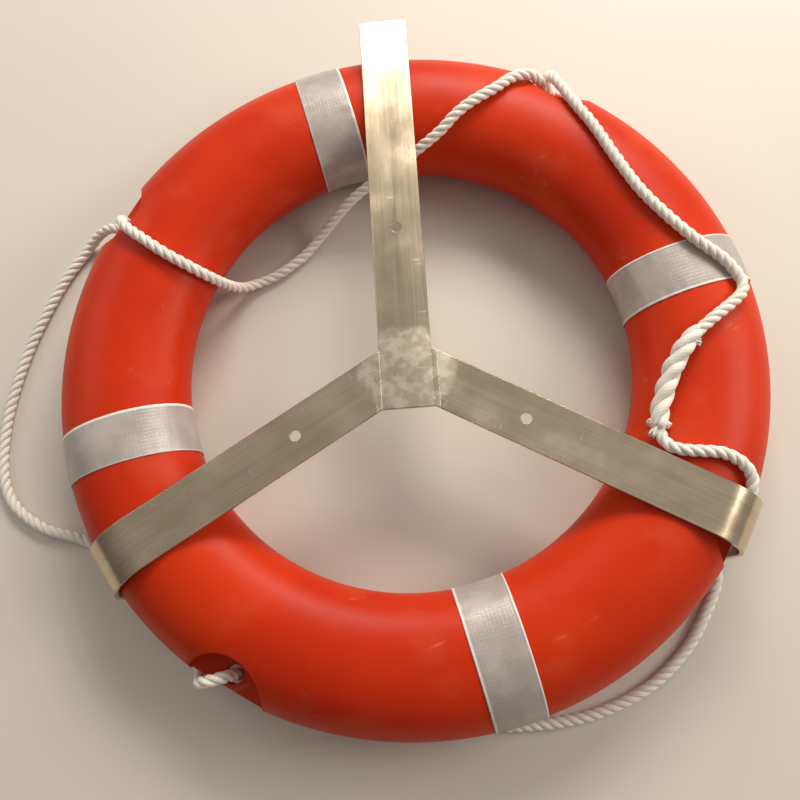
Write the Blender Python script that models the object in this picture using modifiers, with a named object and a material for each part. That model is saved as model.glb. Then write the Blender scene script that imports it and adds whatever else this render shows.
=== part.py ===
"""Life ring lying face up, with its three-armed steel wall bracket laid over it and hooked over the rim.

Metres. +Z is up, +Y runs along the bracket's upright, and the ring rests on z = 0.
"""

import bmesh
import bpy
import numpy as np
from mathutils import Matrix, Vector
from mathutils.geometry import interpolate_bezier

# Ring
RING_DIAMETER = 0.720
TUBE_WIDTH = 0.132
TUBE_HEIGHT = 0.100
SHELL_WALL = 0.003
FIT_GAP = 0.0003
FOAM_GAP = 0.0005

# Reflective tape
TAPE_WIDTH = 0.050
TAPE_THICKNESS = 0.0005
TAPE_GAP = 0.0004
TAPE_ANGLES = (13.0, 103.0, 193.0, 283.0)

# Lugs: a pocket scooped into the rim from above and below leaves a web with a rope hole
LUG_ANGLES = (58.0, 148.0, 238.0, 328.0)
POCKET_RADIUS = 0.0435
POCKET_BEYOND_RIM = 0.009
WEB_THICKNESS = 0.014
WEB_INSET = 0.0045
WEB_EDGE_WIDTH = 0.080
LUG_HOLE_RADIUS = 0.009
LUG_HOLE_INSET = 0.0175

# Filling port, on the underside
PORT_ANGLE = 258.0
PORT_RADIUS = 0.011
PLUG_RECESS = 0.001
PLUG_THICKNESS = 0.0022

# Grab line. The lift keeps straight steps between its points clear of the round tube, and the reach is how
# many degrees from a tape's middle the rope is raised by the tape's thickness.
ROPE_RADIUS = 0.0055
SPLICE_RADIUS = 0.0095
ROPE_LIFT = 0.0010
TAPE_REACH = 9.0
LONGEST_STEP = 8 * ROPE_RADIUS

# Bracket
BAR_WIDTH = 0.051
BAR_THICKNESS = 0.004
BAR_EDGE = 0.0005
HUB_BELOW_CENTRE = 0.015
UPRIGHT_BEYOND_RIM = 0.0197
ARM_ANGLES = {"right": -30.0, "left": 210.0}
BEND_RADIUS = {"right": 0.040, "left": 0.055}
BEND_STEPS = 8
LEG_BOTTOM = 0.018
WELD_WIDTH = 0.004
SCREW_HOLE_RADIUS = 0.0055
UPRIGHT_HOLE_FROM_HUB = 0.145
ARM_HOLE_FROM_HUB = 0.126

# Mesh fineness
RING_SEGMENTS = 80
TUBE_SEGMENTS = 24
INNER_RING_SEGMENTS = 64
INNER_TUBE_SEGMENTS = 16
ROUND_SEGMENTS = 32
ROPE_BEVEL_RESOLUTION = 2

# How far a cutter runs past what it cuts
CUT_MARGIN = 0.02

RING_RADIUS = RING_DIAMETER / 2
TUBE_CENTRE = RING_RADIUS - TUBE_WIDTH / 2
TAPE_OUT = TAPE_GAP + TAPE_THICKNESS
MID_HEIGHT = TAPE_OUT + TUBE_HEIGHT / 2
RING_TOP = MID_HEIGHT + TUBE_HEIGHT / 2
POCKET_CENTRE = RING_RADIUS + POCKET_BEYOND_RIM
BAR_BOTTOM = RING_TOP + FIT_GAP
BAR_TOP = BAR_BOTTOM + BAR_THICKNESS
TOP_OF_UPRIGHT = RING_RADIUS + UPRIGHT_BEYOND_RIM
UPRIGHT_LENGTH = TOP_OF_UPRIGHT + HUB_BELOW_CENTRE
RING_Y = (RING_RADIUS - TOP_OF_UPRIGHT) / 2
HUB = Vector((0.0, RING_Y - HUB_BELOW_CENTRE, 0.0))

# Route of the grab line, from one side of the splice round to the other: angle about the ring in degrees,
# distance inside the rim as a share of the tube's width, height of the rope's centre as a share of the tube's
# height. ON_TUBE rests on the tube and ON_FLOOR lies on the floor.
ON_TUBE = None
ON_FLOOR = 0.0
ROPE_ROUTE = (
    (-23.1, 0.82, ON_TUBE),
    (-24.6, 0.786, ON_TUBE),
    (-25.6, 0.729, ON_TUBE),
    (-25.5, 0.63, ON_TUBE),
    (-23.9, 0.414, ON_TUBE),
    (-23.8, 0.317, ON_TUBE),
    (-24.2, 0.227, 1.0),
    (-25.4, 0.144, 0.95),
    (-26.7, 0.117, 0.915),
    (-28.3, 0.098, 0.835),
    (-31.2, 0.125, 0.665),
    (-32.5, 0.119, 0.375),
    (-34.0, 0.08, 0.255),
    (-36.7, 0.017, 0.11),
    (-38.2, -0.076, 0.065),
    (-42.5, -0.14, ON_FLOOR),
    (-50.3, -0.215, ON_FLOOR),
    (-58.9, -0.22, ON_FLOOR),
    (-68.4, -0.148, ON_FLOOR),
    (-80.4, -0.008, ON_FLOOR),
    (-92.0, 0.091, ON_FLOOR),
    (-103.0, 0.11, ON_FLOOR),
    (-112.0, 0.095, ON_FLOOR),
    (-117.3, 0.098, 0.115),
    (-120.2, 0.121, 0.25),
    (-121.6, 0.131, 0.4),
    (-122.0, 0.131, 0.55),
    (-122.6, 0.105, 0.71),
    (-123.9, 0.048, 0.755),
    (-125.2, -0.011, 0.71),
    (-125.9, -0.036, 0.6),
    (-126.6, -0.043, 0.45),
    (-127.6, -0.03, 0.3),
    (-129.8, -0.004, 0.155),
    (-134.0, 0.061, 0.068),
    (-142.0, 0.083, ON_FLOOR),
    (-149.5, 0.008, ON_FLOOR),
    (-156.3, -0.15, ON_FLOOR),
    (-162.1, -0.492, ON_FLOOR),
    (-168.0, -0.682, ON_FLOOR),
    (-176.7, -0.67, ON_FLOOR),
    (171.8, -0.558, ON_FLOOR),
    (159.9, -0.445, ON_FLOOR),
    (152.8, -0.364, 0.07),
    (150.2, -0.295, 0.17),
    (148.8, -0.205, 0.26),
    (148.1, -0.091, 0.305),
    (147.9, 0.03, 0.31),
    (147.9, 0.117, 0.395),
    (148.5, 0.152, 0.74),
    (149.3, 0.189, 0.94),
    (149.9, 0.239, 1.005),
    (150.6, 0.303, 1.045),
    (151.6, 0.493, ON_TUBE),
    (152.4, 0.682, ON_TUBE),
    (152.5, 0.848, ON_TUBE),
    (151.9, 0.99, 0.77),
    (150.8, 1.048, 0.59),
    (149.2, 1.076, 0.39),
    (146.7, 1.114, 0.2),
    (142.8, 1.159, 0.085),
    (136.5, 1.242, ON_FLOOR),
    (126.5, 1.28, ON_FLOOR),
    (117.8, 1.242, 0.12),
    (104.4, 1.158, 0.4),
    (92.5, 1.072, 0.63),
    (83.6, 0.966, ON_TUBE),
    (77.6, 0.838, ON_TUBE),
    (74.9, 0.723, ON_TUBE),
    (72.1, 0.608, ON_TUBE),
    (67.7, 0.42, ON_TUBE),
    (65.7, 0.277, ON_TUBE),
    (63.6, 0.191, 0.99),
    (62.6, 0.164, 0.958),
    (61.4, 0.144, 0.875),
    (58.9, 0.135, 0.7),
    (58.1, 0.13, 0.4),
    (58.5, 0.105, 0.285),
    (59.4, 0.044, 0.245),
    (60.2, -0.017, 0.285),
    (60.6, -0.042, 0.38),
    (60.9, -0.045, 0.52),
    (60.8, -0.019, 0.67),
    (60.2, 0.038, 0.82),
    (58.6, 0.114, 0.945),
    (52.5, 0.292, ON_TUBE),
    (47.2, 0.389, ON_TUBE),
    (39.5, 0.502, ON_TUBE),
    (30.9, 0.552, ON_TUBE),
    (22.5, 0.504, ON_TUBE),
    (16.3, 0.409, ON_TUBE),
    (12.0, 0.284, ON_TUBE),
    (9.5, 0.227, ON_TUBE),
    (7.4, 0.198, ON_TUBE),
    (5.8, 0.22, ON_TUBE),
    (4.4, 0.286, ON_TUBE),
    (1.1, 0.495, ON_TUBE),
    (-0.2, 0.564, ON_TUBE),
)

# The splice rests on the tube: angle, distance inside the rim as a share of the tube's width, share of its
# full radius
SPLICE_ROUTE = (
    (-0.7, 0.596, 0.6),
    (-2.8, 0.683, 0.9),
    (-5.5, 0.744, 1.0),
    (-9.0, 0.8, 1.0),
    (-13.1, 0.836, 1.0),
    (-16.9, 0.854, 1.0),
    (-20.0, 0.854, 0.9),
    (-22.4, 0.835, 0.6),
)


def clear_scene():
    for obj in list(bpy.data.objects):
        bpy.data.objects.remove(obj, do_unlink=True)


def new_collection(name, hidden=False):
    collection = bpy.data.collections.new(name)
    collection.hide_render = hidden
    bpy.context.scene.collection.children.link(collection)
    return collection


def material(name, colour, roughness, metallic=0.0):
    made = bpy.data.materials.new(name)
    made.use_nodes = True
    shader = made.node_tree.nodes["Principled BSDF"]
    shader.inputs["Base Color"].default_value = (*colour, 1.0)
    shader.inputs["Roughness"].default_value = roughness
    shader.inputs["Metallic"].default_value = metallic
    return made


def move_to(obj, collection):
    for old in list(obj.users_collection):
        old.objects.unlink(obj)
    collection.objects.link(obj)


def bake(obj):
    """The object's place, turn and scale put into its mesh, with its origin left at the world's."""
    bpy.context.view_layer.update()
    obj.data.transform(obj.matrix_world)
    obj.matrix_world = Matrix.Identity(4)


def helper(name):
    obj = bpy.context.active_object
    obj.name = name
    obj.display_type = "WIRE"
    obj.hide_render = True
    move_to(obj, cutters)
    bake(obj)
    return obj


def torus(name, grow, ring_segments=RING_SEGMENTS, tube_segments=TUBE_SEGMENTS):
    """The ring's elliptical tube, thickened all round by grow."""
    half_width = TUBE_WIDTH / 2 + grow
    half_height = TUBE_HEIGHT / 2 + grow
    bpy.ops.mesh.primitive_torus_add(
        major_segments=ring_segments,
        minor_segments=tube_segments,
        major_radius=TUBE_CENTRE,
        minor_radius=half_width,
        location=(0.0, RING_Y, MID_HEIGHT),
    )
    bpy.context.active_object.scale = (1.0, 1.0, half_height / half_width)
    return helper(name)


def on_ring(angle, radius, height):
    turn = np.radians(angle)
    return Vector((radius * np.cos(turn), RING_Y + radius * np.sin(turn), height))


def cylinder(name, centre, radius, low, high):
    bpy.ops.mesh.primitive_cylinder_add(
        vertices=ROUND_SEGMENTS,
        radius=radius,
        depth=high - low,
        location=(centre.x, centre.y, (low + high) / 2),
    )
    return helper(name)


def block(name, centre, size, angle=0.0):
    bpy.ops.mesh.primitive_cube_add(size=1.0, location=centre)
    obj = bpy.context.active_object
    obj.scale = size
    obj.rotation_euler = (0.0, 0.0, np.radians(angle))
    return helper(name)


def boolean(obj, other, operation="DIFFERENCE"):
    modifier = obj.modifiers.new(other.name, "BOOLEAN")
    modifier.operation = operation
    modifier.solver = "EXACT"
    modifier.object = other


def part(name, source, slot, smooth_angle=None):
    """A finished piece: the source's evaluated mesh, in the object's collection."""
    bpy.context.view_layer.update()
    graph = bpy.context.evaluated_depsgraph_get()
    mesh = bpy.data.meshes.new_from_object(source.evaluated_get(graph))
    mesh.name = name
    mesh.materials.clear()
    mesh.materials.append(slot)
    if smooth_angle is not None:
        mesh.shade_smooth()
        mesh.set_sharp_from_angle(angle=np.radians(smooth_angle))
    obj = bpy.data.objects.new(name, mesh)
    parts.objects.link(obj)
    return obj


def set_origin(obj, point, parent):
    """The piece's origin moved onto the bracket's hub, where its slide starts, and its mesh left in place."""
    obj.data.transform(Matrix.Translation(-point))
    obj.parent = parent


def pocket_columns(name, radius):
    """One upright cylinder at each lug, wide enough to leave a wall round the pocket."""
    return [
        cylinder(f"{name}_{i}", on_ring(lug, POCKET_CENTRE, 0.0), radius, -CUT_MARGIN, RING_TOP + CUT_MARGIN)
        for i, lug in enumerate(LUG_ANGLES, 1)
    ]


def make_shell():
    cavity = torus("cavity", -SHELL_WALL, INNER_RING_SEGMENTS, INNER_TUBE_SEGMENTS)
    for column in pocket_columns("cavity_column", POCKET_RADIUS + SHELL_WALL):
        boolean(cavity, column)
    shell = torus("shell_blank", 0.0)
    boolean(shell, cavity)
    for i, angle in enumerate(LUG_ANGLES, 1):
        centre = on_ring(angle, POCKET_CENTRE, 0.0)
        upper = MID_HEIGHT + WEB_THICKNESS / 2
        lower = MID_HEIGHT - WEB_THICKNESS / 2
        boolean(shell, cylinder(f"pocket_top_{i}", centre, POCKET_RADIUS, upper, RING_TOP + CUT_MARGIN))
        boolean(shell, cylinder(f"pocket_under_{i}", centre, POCKET_RADIUS, -CUT_MARGIN, lower))
        hole = on_ring(angle, RING_RADIUS - LUG_HOLE_INSET, 0.0)
        low, high = lower - CUT_MARGIN, upper + CUT_MARGIN
        boolean(shell, cylinder(f"lug_hole_{i}", hole, LUG_HOLE_RADIUS, low, high))
        edge = on_ring(angle, RING_RADIUS - WEB_INSET + CUT_MARGIN / 2, MID_HEIGHT)
        size = (CUT_MARGIN, WEB_EDGE_WIDTH, WEB_THICKNESS + CUT_MARGIN)
        boolean(shell, block(f"web_edge_{i}", edge, size, angle))
    port = on_ring(PORT_ANGLE, TUBE_CENTRE, 0.0)
    boolean(shell, cylinder("port", port, PORT_RADIUS, -CUT_MARGIN, CUT_MARGIN))
    part("ring_shell", shell, shell_plastic, smooth_angle=35)


def make_foam():
    foam = torus("foam_blank", -SHELL_WALL - FOAM_GAP, INNER_RING_SEGMENTS, INNER_TUBE_SEGMENTS)
    for column in pocket_columns("foam_column", POCKET_RADIUS + SHELL_WALL + FOAM_GAP):
        boolean(foam, column)
    part("foam_core", foam, foam_material, smooth_angle=35)


def make_plug():
    low = TAPE_OUT + PLUG_RECESS
    centre = on_ring(PORT_ANGLE, TUBE_CENTRE, 0.0)
    plug = cylinder("plug_blank", centre, PORT_RADIUS - FIT_GAP, low, low + PLUG_THICKNESS)
    part("filler_plug", plug, plug_plastic, smooth_angle=35)


def make_tapes():
    for i, angle in enumerate(TAPE_ANGLES, 1):
        sleeve = torus(f"tape_outer_{i}", TAPE_OUT)
        boolean(sleeve, torus(f"tape_inner_{i}", TAPE_GAP))
        middle = on_ring(angle, TUBE_CENTRE, MID_HEIGHT)
        size = (TUBE_WIDTH + CUT_MARGIN, TAPE_WIDTH, TUBE_HEIGHT + CUT_MARGIN)
        boolean(sleeve, block(f"tape_band_{i}", middle, size, angle), "INTERSECT")
        part(f"reflective_tape_{i}", sleeve, tape_material, smooth_angle=35)


def tube_rest_height(angle, radius, rope_radius):
    """Height of a rope's centre that rests on the tube, or on the tape where it crosses one."""
    over_tape = any(abs(angle - tape) < TAPE_REACH for tape in TAPE_ANGLES)
    grow = rope_radius + ROPE_LIFT + (TAPE_OUT if over_tape else 0.0)
    across = (radius - TUBE_CENTRE) / (TUBE_WIDTH / 2 + grow)
    return MID_HEIGHT + (TUBE_HEIGHT / 2 + grow) * np.sqrt(1 - across**2)


def rope_points():
    found = []
    for angle, inset, height in ROPE_ROUTE:
        radius = RING_RADIUS - inset * TUBE_WIDTH
        if height is ON_TUBE:
            height = tube_rest_height(angle, radius, ROPE_RADIUS)
        elif height == ON_FLOOR:
            height = ROPE_RADIUS
        else:
            height *= TUBE_HEIGHT
        found.append(on_ring(angle, radius, height))
    return found


def splice_points():
    found = []
    for angle, inset, thickness in SPLICE_ROUTE:
        radius = RING_RADIUS - inset * TUBE_WIDTH
        found.append(on_ring(angle, radius, tube_rest_height(angle, radius, thickness * SPLICE_RADIUS)))
    return found


def smooth_steps(points):
    """The points with more put between those far apart, on the smooth curve that runs through them all.

    Each point's direction is that from the point before it to the point after it. Between two points the
    curve is a cubic whose handles are a third of their distance long.
    """
    before = [points[0], *points[:-1]]
    after = [*points[1:], points[-1]]
    ways = [(b - a).normalized() for a, b in zip(before, after)]
    steps = [points[0]]
    for start, end, way_out, way_in in zip(points, points[1:], ways, ways[1:]):
        span = (end - start).length
        count = int(np.ceil(span / LONGEST_STEP))
        handles = (start + way_out * span / 3, end - way_in * span / 3)
        for step in interpolate_bezier(start, *handles, end, count + 1)[1:]:
            step.z = max(step.z, ROPE_RADIUS)
            steps.append(step)
    return steps


def make_rope(name, points, radii):
    """A round rope through the points, as thick at each as its radius says."""
    curve = bpy.data.curves.new(name, "CURVE")
    curve.dimensions = "3D"
    curve.bevel_depth = 1.0
    curve.bevel_resolution = ROPE_BEVEL_RESOLUTION
    curve.use_fill_caps = True
    spline = curve.splines.new("POLY")
    spline.points.add(len(points) - 1)
    for point, place, radius in zip(spline.points, points, radii):
        point.co = (*place, 1.0)
        point.radius = radius
    obj = bpy.data.objects.new(name + "_curve", curve)
    cutters.objects.link(obj)
    part(name, obj, rope_material, smooth_angle=50)
    bpy.data.objects.remove(obj)


def prism(name, points, low, high, place=None):
    """A prism on a closed outline of (x, y) points, with the outline's plane placed by a matrix."""
    count = len(points)
    corners = [(x, y, z) for z in (low, high) for x, y in points]
    sides = [(i, (i + 1) % count, count + (i + 1) % count, count + i) for i in range(count)]
    mesh = bpy.data.meshes.new(name)
    mesh.from_pydata(corners, [], [*sides, tuple(range(count)), tuple(range(count, 2 * count))])
    turn_outwards(mesh)
    mesh.transform(place or Matrix.Identity(4))
    made = bpy.data.objects.new(name, mesh)
    cutters.objects.link(made)
    made.hide_render = True
    made.display_type = "WIRE"
    return made


def turn_outwards(mesh):
    work = bmesh.new()
    work.from_mesh(mesh)
    bmesh.ops.recalc_face_normals(work, faces=work.faces)
    work.to_mesh(mesh)
    work.free()


def ease_edges(obj):
    bevel = obj.modifiers.new("eased_edges", "BEVEL")
    bevel.width = BAR_EDGE
    bevel.segments = 1
    bevel.limit_method = "ANGLE"
    bevel.angle_limit = np.radians(40)


def screw_hole(name, direction, distance):
    centre = HUB + distance * Vector((np.cos(np.radians(direction)), np.sin(np.radians(direction)), 0.0))
    return cylinder(name, centre, SCREW_HOLE_RADIUS, BAR_BOTTOM - CUT_MARGIN, BAR_TOP + CUT_MARGIN)


def arm_edge_y(x, side):
    """Where an arm's upper (side 1) or lower (side -1) edge crosses the line x from the hub."""
    slope = np.tan(np.radians(ARM_ANGLES["right"]))
    return x * slope + side * BAR_WIDTH / 2 / np.cos(np.radians(ARM_ANGLES["right"]))


def make_upright(hub_empty):
    half = BAR_WIDTH / 2
    foot = arm_edge_y(half, -1)
    outline = [(-half, foot), (half, foot), (half, UPRIGHT_LENGTH), (-half, UPRIGHT_LENGTH)]
    bar = prism("upright_blank", outline, BAR_BOTTOM, BAR_TOP, Matrix.Translation(HUB))
    ease_edges(bar)
    boolean(bar, screw_hole("upright_hole", 90.0, UPRIGHT_HOLE_FROM_HUB))
    set_origin(part("bracket_upright", bar, steel), HUB, hub_empty)


def arm_side_outline(bend_radius):
    """The arm seen from its side, as (distance from hub, height): flat bar, quarter bend, leg by the rim."""
    leg_inner = RING_RADIUS + FIT_GAP - HUB_BELOW_CENTRE * np.sin(np.radians(-ARM_ANGLES["right"]))
    leg_outer = leg_inner + BAR_THICKNESS
    bend_start = leg_outer - bend_radius
    bend_height = BAR_TOP - bend_radius
    turns = np.linspace(0.5 * np.pi, 0.0, BEND_STEPS + 1)
    outer, inner = (
        [(bend_start + radius * np.cos(t), bend_height + radius * np.sin(t)) for t in turns]
        for radius in (bend_radius, bend_radius - BAR_THICKNESS)
    )
    leg_end = [(leg_outer, LEG_BOTTOM), (leg_inner, LEG_BOTTOM)]
    return [(0.0, BAR_TOP), *outer, *leg_end, *inner[::-1], (0.0, BAR_BOTTOM)]


def make_arm(side, hub_empty):
    angle = ARM_ANGLES[side]
    place = (
        Matrix.Translation(HUB)
        @ Matrix.Rotation(np.radians(angle), 4, "Z")
        @ Matrix.Rotation(np.radians(90), 4, "X")
    )
    outline = arm_side_outline(BEND_RADIUS[side])
    arm = prism(f"arm_{side}_blank", outline, -BAR_WIDTH / 2, BAR_WIDTH / 2, place)
    ease_edges(arm)
    reach = BAR_WIDTH / 2 + WELD_WIDTH + 2 * FIT_GAP
    tall = 4 * BAR_WIDTH
    boolean(arm, block(f"arm_{side}_seam", HUB + Vector((0.0, 0.0, BAR_TOP)), (2 * reach, tall, tall)))
    boolean(arm, screw_hole(f"arm_{side}_hole", angle, ARM_HOLE_FROM_HUB))
    set_origin(part(f"bracket_arm_{side}", arm, steel, smooth_angle=30), HUB, hub_empty)


def make_weld(side, hub_empty):
    sign = 1 if side == "right" else -1
    near = BAR_WIDTH / 2 + FIT_GAP
    far = near + WELD_WIDTH
    corners = [(near, -1), (far, -1), (far, 1), (near, 1)]
    outline = [(sign * x, arm_edge_y(x, edge)) for x, edge in corners]
    seam = prism(f"weld_{side}_blank", outline, BAR_BOTTOM, BAR_TOP, Matrix.Translation(HUB))
    set_origin(part(f"weld_{side}", seam, weld_metal), HUB, hub_empty)


clear_scene()
parts = new_collection("life_ring")
cutters = new_collection("cutters", hidden=True)
shell_plastic = material("shell_plastic", (0.73, 0.045, 0.008), 0.35)
foam_material = material("foam", (0.85, 0.78, 0.60), 0.9)
plug_plastic = material("plug_plastic", (0.60, 0.040, 0.010), 0.4)
tape_material = material("reflective_tape", (0.48, 0.45, 0.46), 0.35, 0.3)
rope_material = material("rope", (0.76, 0.70, 0.58), 0.85)
steel = material("steel", (0.55, 0.53, 0.51), 0.3, 1.0)
weld_metal = material("weld", (0.50, 0.47, 0.44), 0.45, 1.0)

bracket = bpy.data.objects.new("bracket", None)
bracket.location = HUB
parts.objects.link(bracket)

make_shell()
make_foam()
make_plug()
make_tapes()
rope_steps = smooth_steps(rope_points())
make_rope("grab_line", rope_steps, [ROPE_RADIUS] * len(rope_steps))
splice_radii = [thickness * SPLICE_RADIUS for _, _, thickness in SPLICE_ROUTE]
make_rope("grab_line_splice", splice_points(), splice_radii)
make_upright(bracket)
for arm_side in ARM_ANGLES:
    make_arm(arm_side, bracket)
    make_weld(arm_side, bracket)
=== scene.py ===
"""Looks for the life ring and its wall bracket: laid rope, reflective tape, moulded plastic, brushed steel.

Metres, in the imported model's frame: +Z up, +Y along the bracket's upright, ring lying on z = 0.
"""

import bmesh
import bpy
import numpy as np
from mathutils import Matrix


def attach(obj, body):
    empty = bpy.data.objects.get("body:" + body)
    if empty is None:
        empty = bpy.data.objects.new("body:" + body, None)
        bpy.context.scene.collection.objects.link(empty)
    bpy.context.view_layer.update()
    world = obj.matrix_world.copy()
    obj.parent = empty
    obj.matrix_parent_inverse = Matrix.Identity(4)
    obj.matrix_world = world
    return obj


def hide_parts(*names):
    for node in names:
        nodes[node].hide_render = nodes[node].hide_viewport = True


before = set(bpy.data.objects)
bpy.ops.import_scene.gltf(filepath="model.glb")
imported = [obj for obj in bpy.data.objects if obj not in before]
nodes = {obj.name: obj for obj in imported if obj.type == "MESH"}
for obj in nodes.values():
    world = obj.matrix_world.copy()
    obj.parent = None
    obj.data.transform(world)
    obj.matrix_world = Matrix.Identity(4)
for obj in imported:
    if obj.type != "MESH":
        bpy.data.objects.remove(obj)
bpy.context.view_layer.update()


random = np.random.default_rng(7)
FULL_TURN = 2 * np.pi

# Ring. The frame's origin is the middle of ring and bracket, so the ring's centre lies off it by half of what
# the upright reaches beyond the rim.
RING_DIAMETER = 0.720
TUBE_WIDTH = 0.132
TUBE_HEIGHT = 0.100
TAPE_WIDTH = 0.050
TAPE_THICKNESS = 0.0005
TAPE_GAP = 0.0004
TAPE_ANGLES = (13.0, 103.0, 193.0, 283.0)
UPRIGHT_BEYOND_RIM = 0.0197
TAPE_OUT = TAPE_GAP + TAPE_THICKNESS
RING_RADIUS = RING_DIAMETER / 2
TUBE_CENTRE = RING_RADIUS - TUBE_WIDTH / 2
MID_HEIGHT = TAPE_OUT + TUBE_HEIGHT / 2
RING_Y = -UPRIGHT_BEYOND_RIM / 2

# How the tapes' outer faces ripple, as heights above the tube, and the sealed line near each edge
TAPE_RIPPLES = 16
TAPE_RIPPLE_DEPTH = 0.00004
TAPE_LEAST = 0.00062
TAPE_MOST = 0.0014
TAPE_SEAL_DEPTH = 0.00018
TAPE_SEAL_INSET = 0.0042
TAPE_SEAL_WIDTH = 0.0006

# Lugs and filling port. The reach is how many degrees to each side of a lug the ring's mesh is finer.
LUG_ANGLES = (58.0, 148.0, 238.0, 328.0)
LUG_REACH = 7.8
POCKET_RADIUS = 0.0435
POCKET_CENTRE = RING_RADIUS + 0.009
WEB_THICKNESS = 0.014
WEB_INSET = 0.0045
WEB_EDGE_WIDTH = 0.080
LUG_HOLE_RADIUS = 0.009
LUG_HOLE_INSET = 0.0175
PORT_ANGLE = 258.0
PORT_RADIUS = 0.011
PORT_DEPTH = 0.0034

# Bracket
BAR_WIDTH = 0.051
BAR_THICKNESS = 0.004
BAR_EDGE = 0.0005
HUB_BELOW_CENTRE = 0.015
FIT_GAP = 0.0003
LEG_BOTTOM = 0.018
WELD_WIDTH = 0.004
SCREW_HOLE_RADIUS = 0.0055
ARM_HOLE_FROM_HUB = 0.126
BEND_RADIUS = {"right": 0.040, "left": 0.055}
UPRIGHT_TURN = 90.0
ARM_TURN = {"right": -30.0, "left": 210.0}
HUB_Y = RING_Y - HUB_BELOW_CENTRE
BAR_TOP = TAPE_OUT + TUBE_HEIGHT + FIT_GAP + BAR_THICKNESS

# Visible welds: lap over the gap at each side, rise at the edge, crown in the middle, what they stop short of
# the bar's corners, and the two waves of their edges as depth, waves and shift
WELD_LAP = 2.2 * FIT_GAP
WELD_RISE = 0.00003
WELD_CROWN = 0.00004
WELD_SHORT = 0.0004
WELD_WAVES = ((0.00025, 41, 1), (0.0002, 23, 2))

# Grab line. The lift is its clearance over the tube, and the reach is how many degrees from a tape's middle
# it lies over the tape. The swell is how much fuller than its nominal size the laid rope looks. A strand's
# share is its own radius against that of the rope, and a strand goes once round in each turn length.
ROPE_RADIUS = 0.0055
ROPE_LIFT = 0.0010
ROPE_SWELL = 1.06
ROPE_STEP = 0.0015
ROPE_TURN = 0.0290
ROPE_STRAND_SHARE = 0.53
TAPE_REACH = 9.0
SPLICE_RADIUS = 0.0095
SPLICE_STEP = 0.0008
SPLICE_TURN = 0.0560
SPLICE_STRAND_SHARE = 0.54
SPLICE_FIRST_TURN = 0.9
SPLICE_LUMPS = 0.07
SPLICE_LUMP_LENGTH = 0.0215
YARNS_IN_A_TUFT = 46
YARN_RADIUS = 0.0007
TUFT_RADIUS = 0.0027
TUFT_SPREAD = 0.0011
TUFT_DROOP = 0.0010

# Frayed strand ends: share of the way along the splice, direction, length
FRAYED_ENDS = (
    (0.17, (0.85, -0.25, 0.10), 0.008),
    (0.90, (-0.85, -0.50, 0.05), 0.009),
    (0.95, (-0.55, -0.80, 0.05), 0.012),
    (0.93, (0.75, -0.60, 0.05), 0.008),
)

# Mesh fineness
STRAND_SIDES = 14
YARN_ROWS = 7
YARN_SIDES = 5
TUBE_POINTS = 96
LUG_STEPS = 79
WEB_STEPS = 9
FLAT_STEPS = 6
HOLE_SIDES = 40
TAPE_POINTS = 260
TAPE_STEPS = 41
BAR_STEPS = 13
FLAT_ROWS = 40
BEND_ROWS = 36
LEG_ROWS = 12
WELD_STEPS = 11
WELD_ROWS = 90

# Camera, fitted to the photograph: lens in millimetres on a sensor of that width, and its place
LENS = 35.64
SENSOR_WIDTH = 36.0
CAMERA_PLACE = (
    (0.9962, 0.0772, 0.0404, 0.0224),
    (-0.0636, 0.9612, -0.2685, -0.2626),
    (-0.0595, 0.2649, 0.9624, 0.8282),
    (0.0, 0.0, 0.0, 1.0),
)

# Soft lamps: place, the point that it faces, width and height, watts, colour
LAMPS = {
    "window": ((0.55, 1.75, 1.45), (0.0, 0.1, 0.05), (1.4, 0.7), 45.0, (1.0, 0.93, 0.83)),
    "side_window": ((1.9, 0.2, 1.3), (0.0, 0.0, 0.05), (1.0, 0.8), 20.0, (1.0, 0.92, 0.82)),
    "left_window": ((-1.5, 0.8, 1.1), (0.1, 0.0, 0.05), (0.9, 0.7), 4.5, (1.0, 0.95, 0.88)),
}
ROOM_COLOUR = (1.0, 0.955, 0.89, 1.0)
FLOOR_HALF = 6.0

# Plastics, as base, scuffed and dark mottled colour
SHELL_COLOURS = ((0.62, 0.034, 0.002), (0.78, 0.20, 0.09), (0.52, 0.022, 0.001))
PLUG_COLOURS = ((0.60, 0.04, 0.01), (0.8, 0.25, 0.15), (0.5, 0.03, 0.006))

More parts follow.
